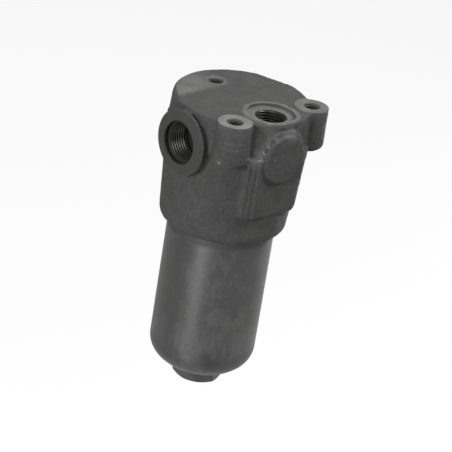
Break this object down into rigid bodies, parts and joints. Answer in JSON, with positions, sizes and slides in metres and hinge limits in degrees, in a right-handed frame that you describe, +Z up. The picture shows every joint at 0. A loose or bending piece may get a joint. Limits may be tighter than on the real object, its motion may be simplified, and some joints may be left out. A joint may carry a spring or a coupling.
{
  "type": "in-line hydraulic oil filter",
  "caption": "In-line high-pressure oil filter: cast head with side inlet, top outlet and tapped mounting holes, and a screwed-on steel bowl holding a pleated element.",
  "frame": {"origin": "where the bowl's axis meets the mounting plane, which is the machined top of the head", "axes": "+Z up, out of the mounting plane, along the bowl's axis; the bowl hangs down to -Z; the side port faces -X; the flat pad with the round blank faces -Y"},
  "size_m": [0.089, 0.0896, 0.1964],
  "materials": {
    "cast_iron": "grey iron casting, phosphated, its sealing and mounting faces machined bare",
    "bowl_steel": "cold-drawn steel, phosphated grey, lightly oiled",
    "turned_steel": "turned steel, bare",
    "plated_sheet": "sheet steel, tinned",
    "spring_wire": "spring steel wire",
    "washer_aluminium": "soft aluminium",
    "seal_rubber": "black nitrile rubber",
    "backup_plastic": "white fluoroplastic",
    "filter_media": "pleated glass fibre between support meshes"
  },
  "bodies": {
    "head": {"filter_head": "cast_iron", "element_spigot": "turned_steel", "spigot_o_ring": "seal_rubber", "element_top_cap": "plated_sheet", "element_o_ring": "seal_rubber", "element_bottom_cap": "plated_sheet", "element_core_tube": "plated_sheet", "element_outer_guard": "plated_sheet", "element_pleat_pack": "filter_media", "bypass_valve_body": "turned_steel", "bypass_washer": "washer_aluminium", "bypass_spring": "spring_wire", "bypass_spring_plate": "turned_steel", "bypass_retaining_ring": "spring_wire"},
    "bowl_seals": {"bowl_o_ring": "seal_rubber", "bowl_backup_ring": "backup_plastic"},
    "bowl": {"filter_bowl": "bowl_steel", "element_spring": "spring_wire"},
    "bypass_poppet": {"bypass_poppet": "turned_steel"}
  },
  "joints": [
    {"name": "bowl_travel", "type": "slide", "parent": "head", "child": "bowl_seals", "axis": [0, 0, -1], "range_m": [0, 0.0201], "deforming": ["element_spring"]},
    {"name": "bowl_unscrew", "type": "hinge", "parent": "bowl_seals", "child": "bowl", "pos_m": [0, 0, 0], "axis": [0, 0, -1], "range_deg": [0, 3600]},
    {"name": "bypass_lift", "type": "slide", "parent": "head", "child": "bypass_poppet", "axis": [0, 0, 1], "range_m": [0, 0.0024], "stiffness_N_per_m": 3500, "springref_m": -0.0045, "deforming": ["bypass_spring"]}
  ],
  "couplings": [
    {"joint": "bowl_travel", "follows": "bowl_unscrew", "m_per_rad": 0.00031831}
  ]
}
